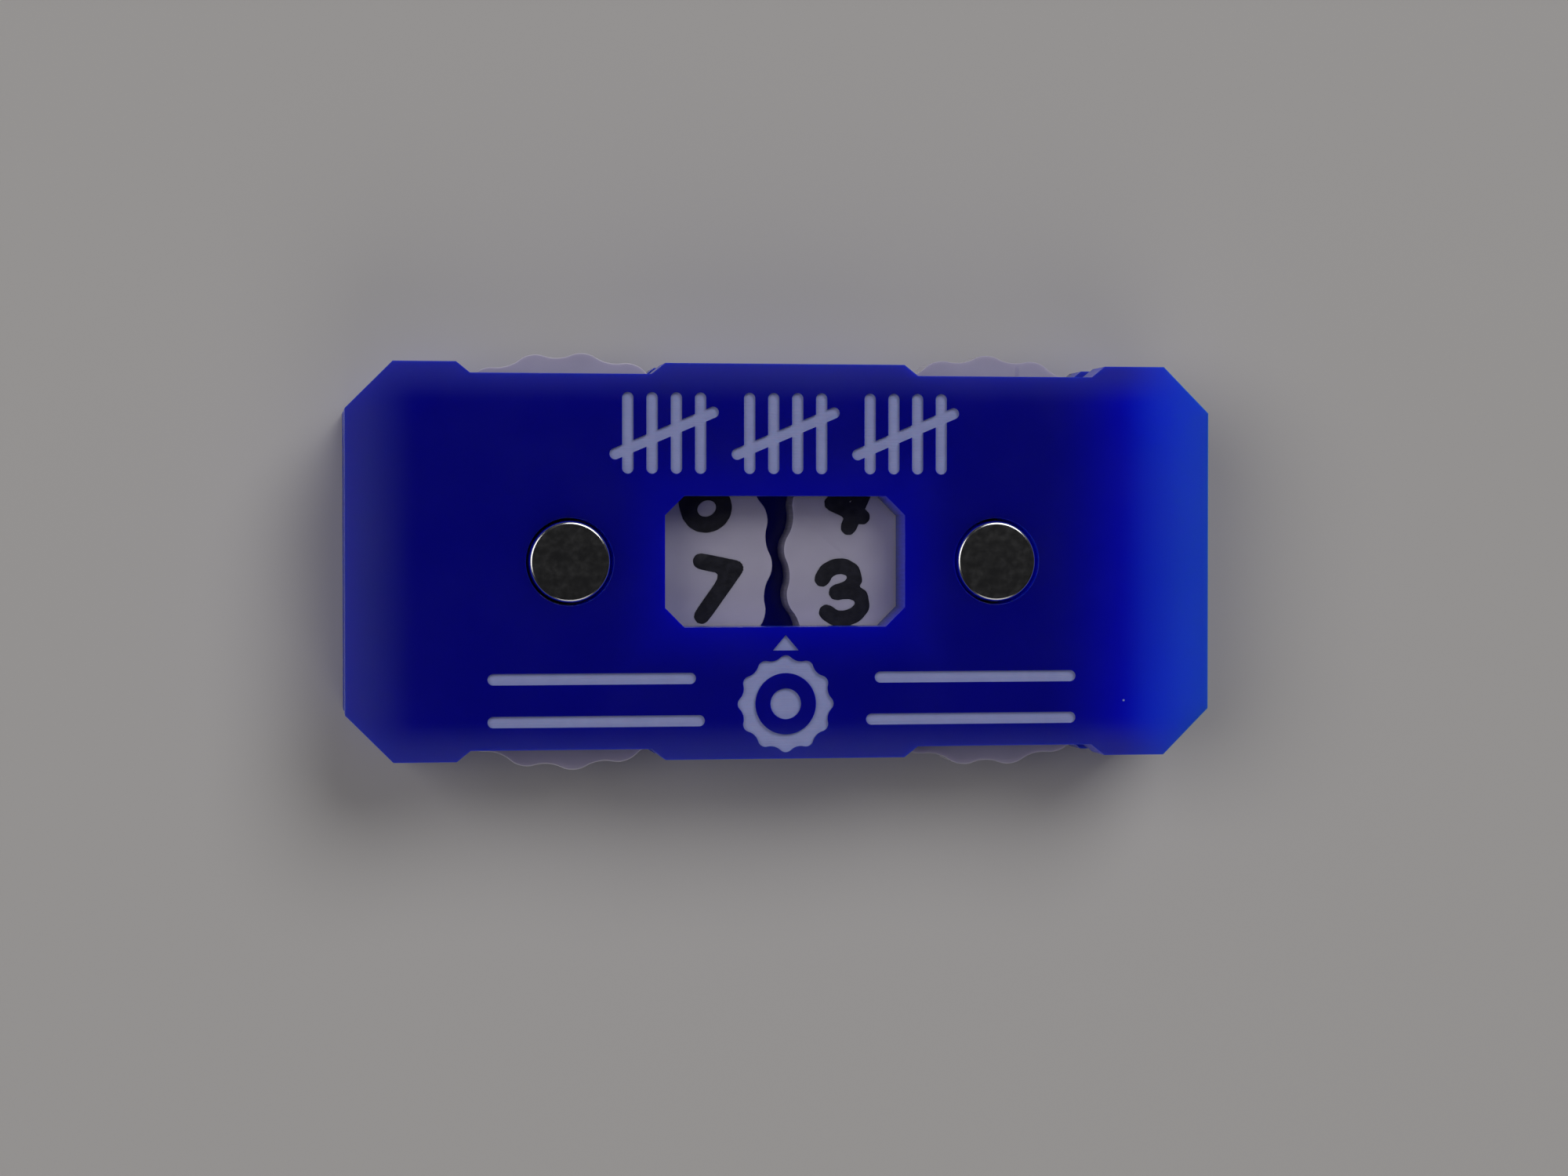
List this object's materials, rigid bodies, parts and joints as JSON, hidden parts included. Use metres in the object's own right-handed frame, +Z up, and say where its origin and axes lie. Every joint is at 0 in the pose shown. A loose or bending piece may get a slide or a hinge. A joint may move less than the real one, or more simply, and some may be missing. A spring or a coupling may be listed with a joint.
{
  "type": "twin-dial desk counter",
  "caption": "Flat desk counter: lobed number dials between blue acrylic plates show a two-figure count in a window and turn under the thumb on disc-magnet axles.",
  "frame": {"origin": "middle of the underside, halfway between the two dial axes", "axes": "+X along the plates towards the units dial, +Y away from the reader, +Z up out of the engraved top plate"},
  "size_m": [0.054, 0.0261, 0.009],
  "materials": {
    "blue_acrylic": "deep translucent blue acrylic sheet, satin gloss, with pale laser engraving",
    "opal_acrylic": "opal white acrylic sheet, satin gloss",
    "black_enamel": "black paint filled into engraved numbers, matt",
    "nickel_plating": "nickel-plated disc magnet"
  },
  "bodies": {
    "case": {"bottom_plate": "blue_acrylic", "top_plate": "blue_acrylic", "tens_bottom_magnet": "nickel_plating", "tens_axle_magnet": "nickel_plating", "tens_top_magnet": "nickel_plating", "units_bottom_magnet": "nickel_plating", "units_axle_magnet": "nickel_plating", "units_top_magnet": "nickel_plating"},
    "tens_wheel": {"tens_dial": "opal_acrylic", "tens_digit_0": "black_enamel", "tens_digit_1": "black_enamel", "tens_digit_2": "black_enamel", "tens_digit_3": "black_enamel", "tens_digit_4": "black_enamel", "tens_digit_5": "black_enamel", "tens_digit_6": "black_enamel", "tens_digit_7": "black_enamel", "tens_digit_8": "black_enamel", "tens_digit_9": "black_enamel"},
    "units_wheel": {"units_dial": "opal_acrylic", "units_digit_0": "black_enamel", "units_digit_1": "black_enamel", "units_digit_2": "black_enamel", "units_digit_3": "black_enamel", "units_digit_4": "black_enamel", "units_digit_5": "black_enamel", "units_digit_6": "black_enamel", "units_digit_7": "black_enamel", "units_digit_8": "black_enamel", "units_digit_9": "black_enamel"}
  },
  "joints": [
    {"name": "tens_turn", "type": "hinge", "parent": "case", "child": "tens_wheel", "pos_m": [-0.01335, 0, 0.0045], "axis": [0, 0, 1], "continuous": true},
    {"name": "units_turn", "type": "hinge", "parent": "case", "child": "units_wheel", "pos_m": [0.01335, 0, 0.0045], "axis": [0, 0, 1], "continuous": true}
  ]
}
